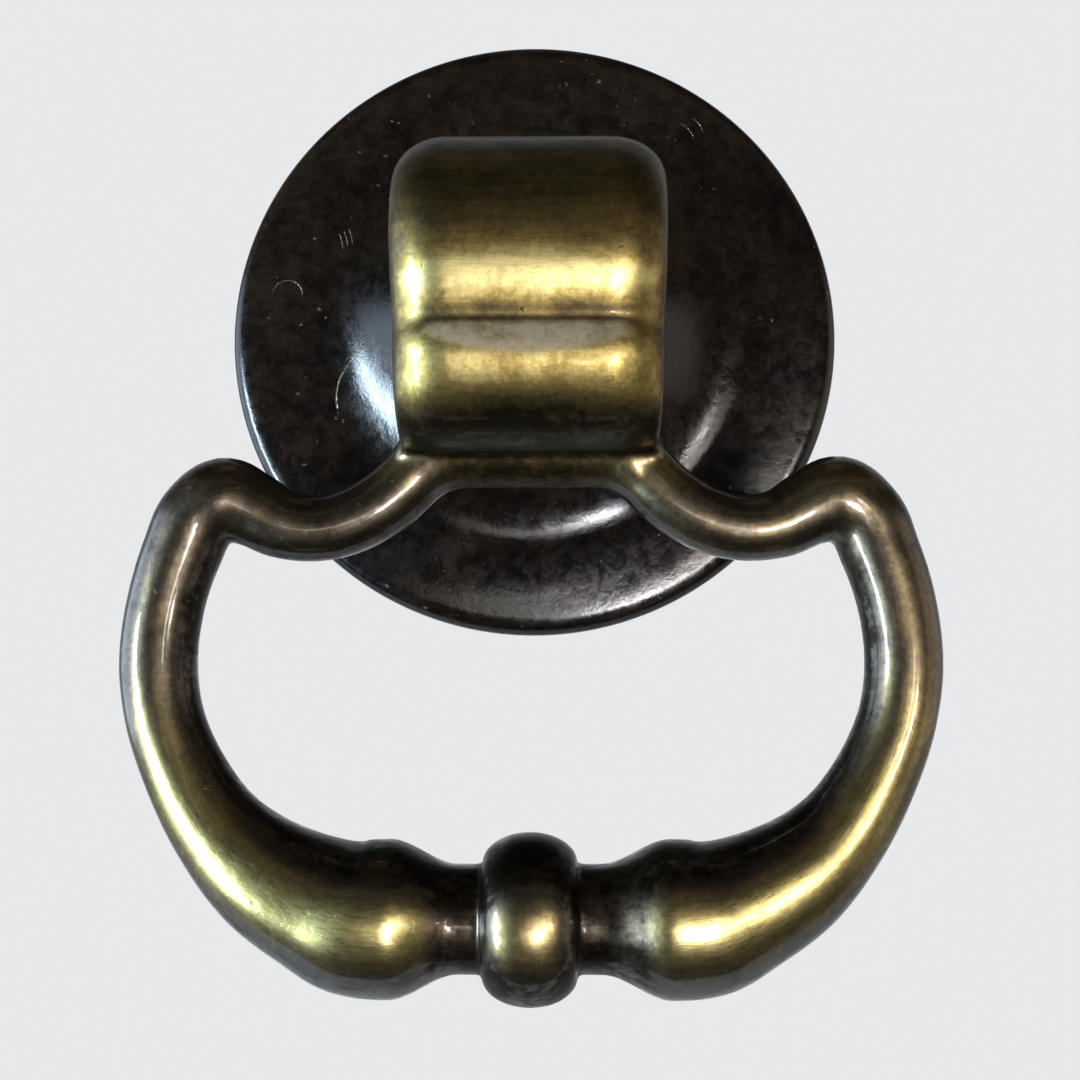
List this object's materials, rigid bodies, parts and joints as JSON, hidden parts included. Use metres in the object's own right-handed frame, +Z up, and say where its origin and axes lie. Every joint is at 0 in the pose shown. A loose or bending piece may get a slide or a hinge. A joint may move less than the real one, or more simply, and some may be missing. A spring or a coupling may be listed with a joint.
{
  "type": "drop pull",
  "caption": "Drop pull with a hinged ring bail that hangs from a hood shaped head in front of a round, flared rosette.",
  "frame": {"origin": "centre of the rosette's flat back rim, on the face of the drawer and on the axis of the fixing screw", "axes": "the front looks along -Y, the back rests against the drawer and looks along +Y, +X is to the right and +Z is up"},
  "size_m": [0.0582, 0.0287, 0.0763],
  "materials": {
    "dark_bronze": "dark bronze, satin, with faint mottling",
    "antique_brass": "antique brass, brushed, with dark recesses",
    "plain_steel": "plain turned steel"
  },
  "bodies": {
    "base": {"rosette": "dark_bronze", "pivot_post": "plain_steel", "lock_washer": "plain_steel", "retaining_nut": "plain_steel"},
    "handle": {"drop_handle": "antique_brass", "hinge_pin": "plain_steel"}
  },
  "joints": [
    {"name": "handle_swing", "type": "hinge", "parent": "base", "child": "handle", "pos_m": [0, -0.0185, 0], "axis": [-1, 0, 0], "range_deg": [-13, 51]}
  ]
}
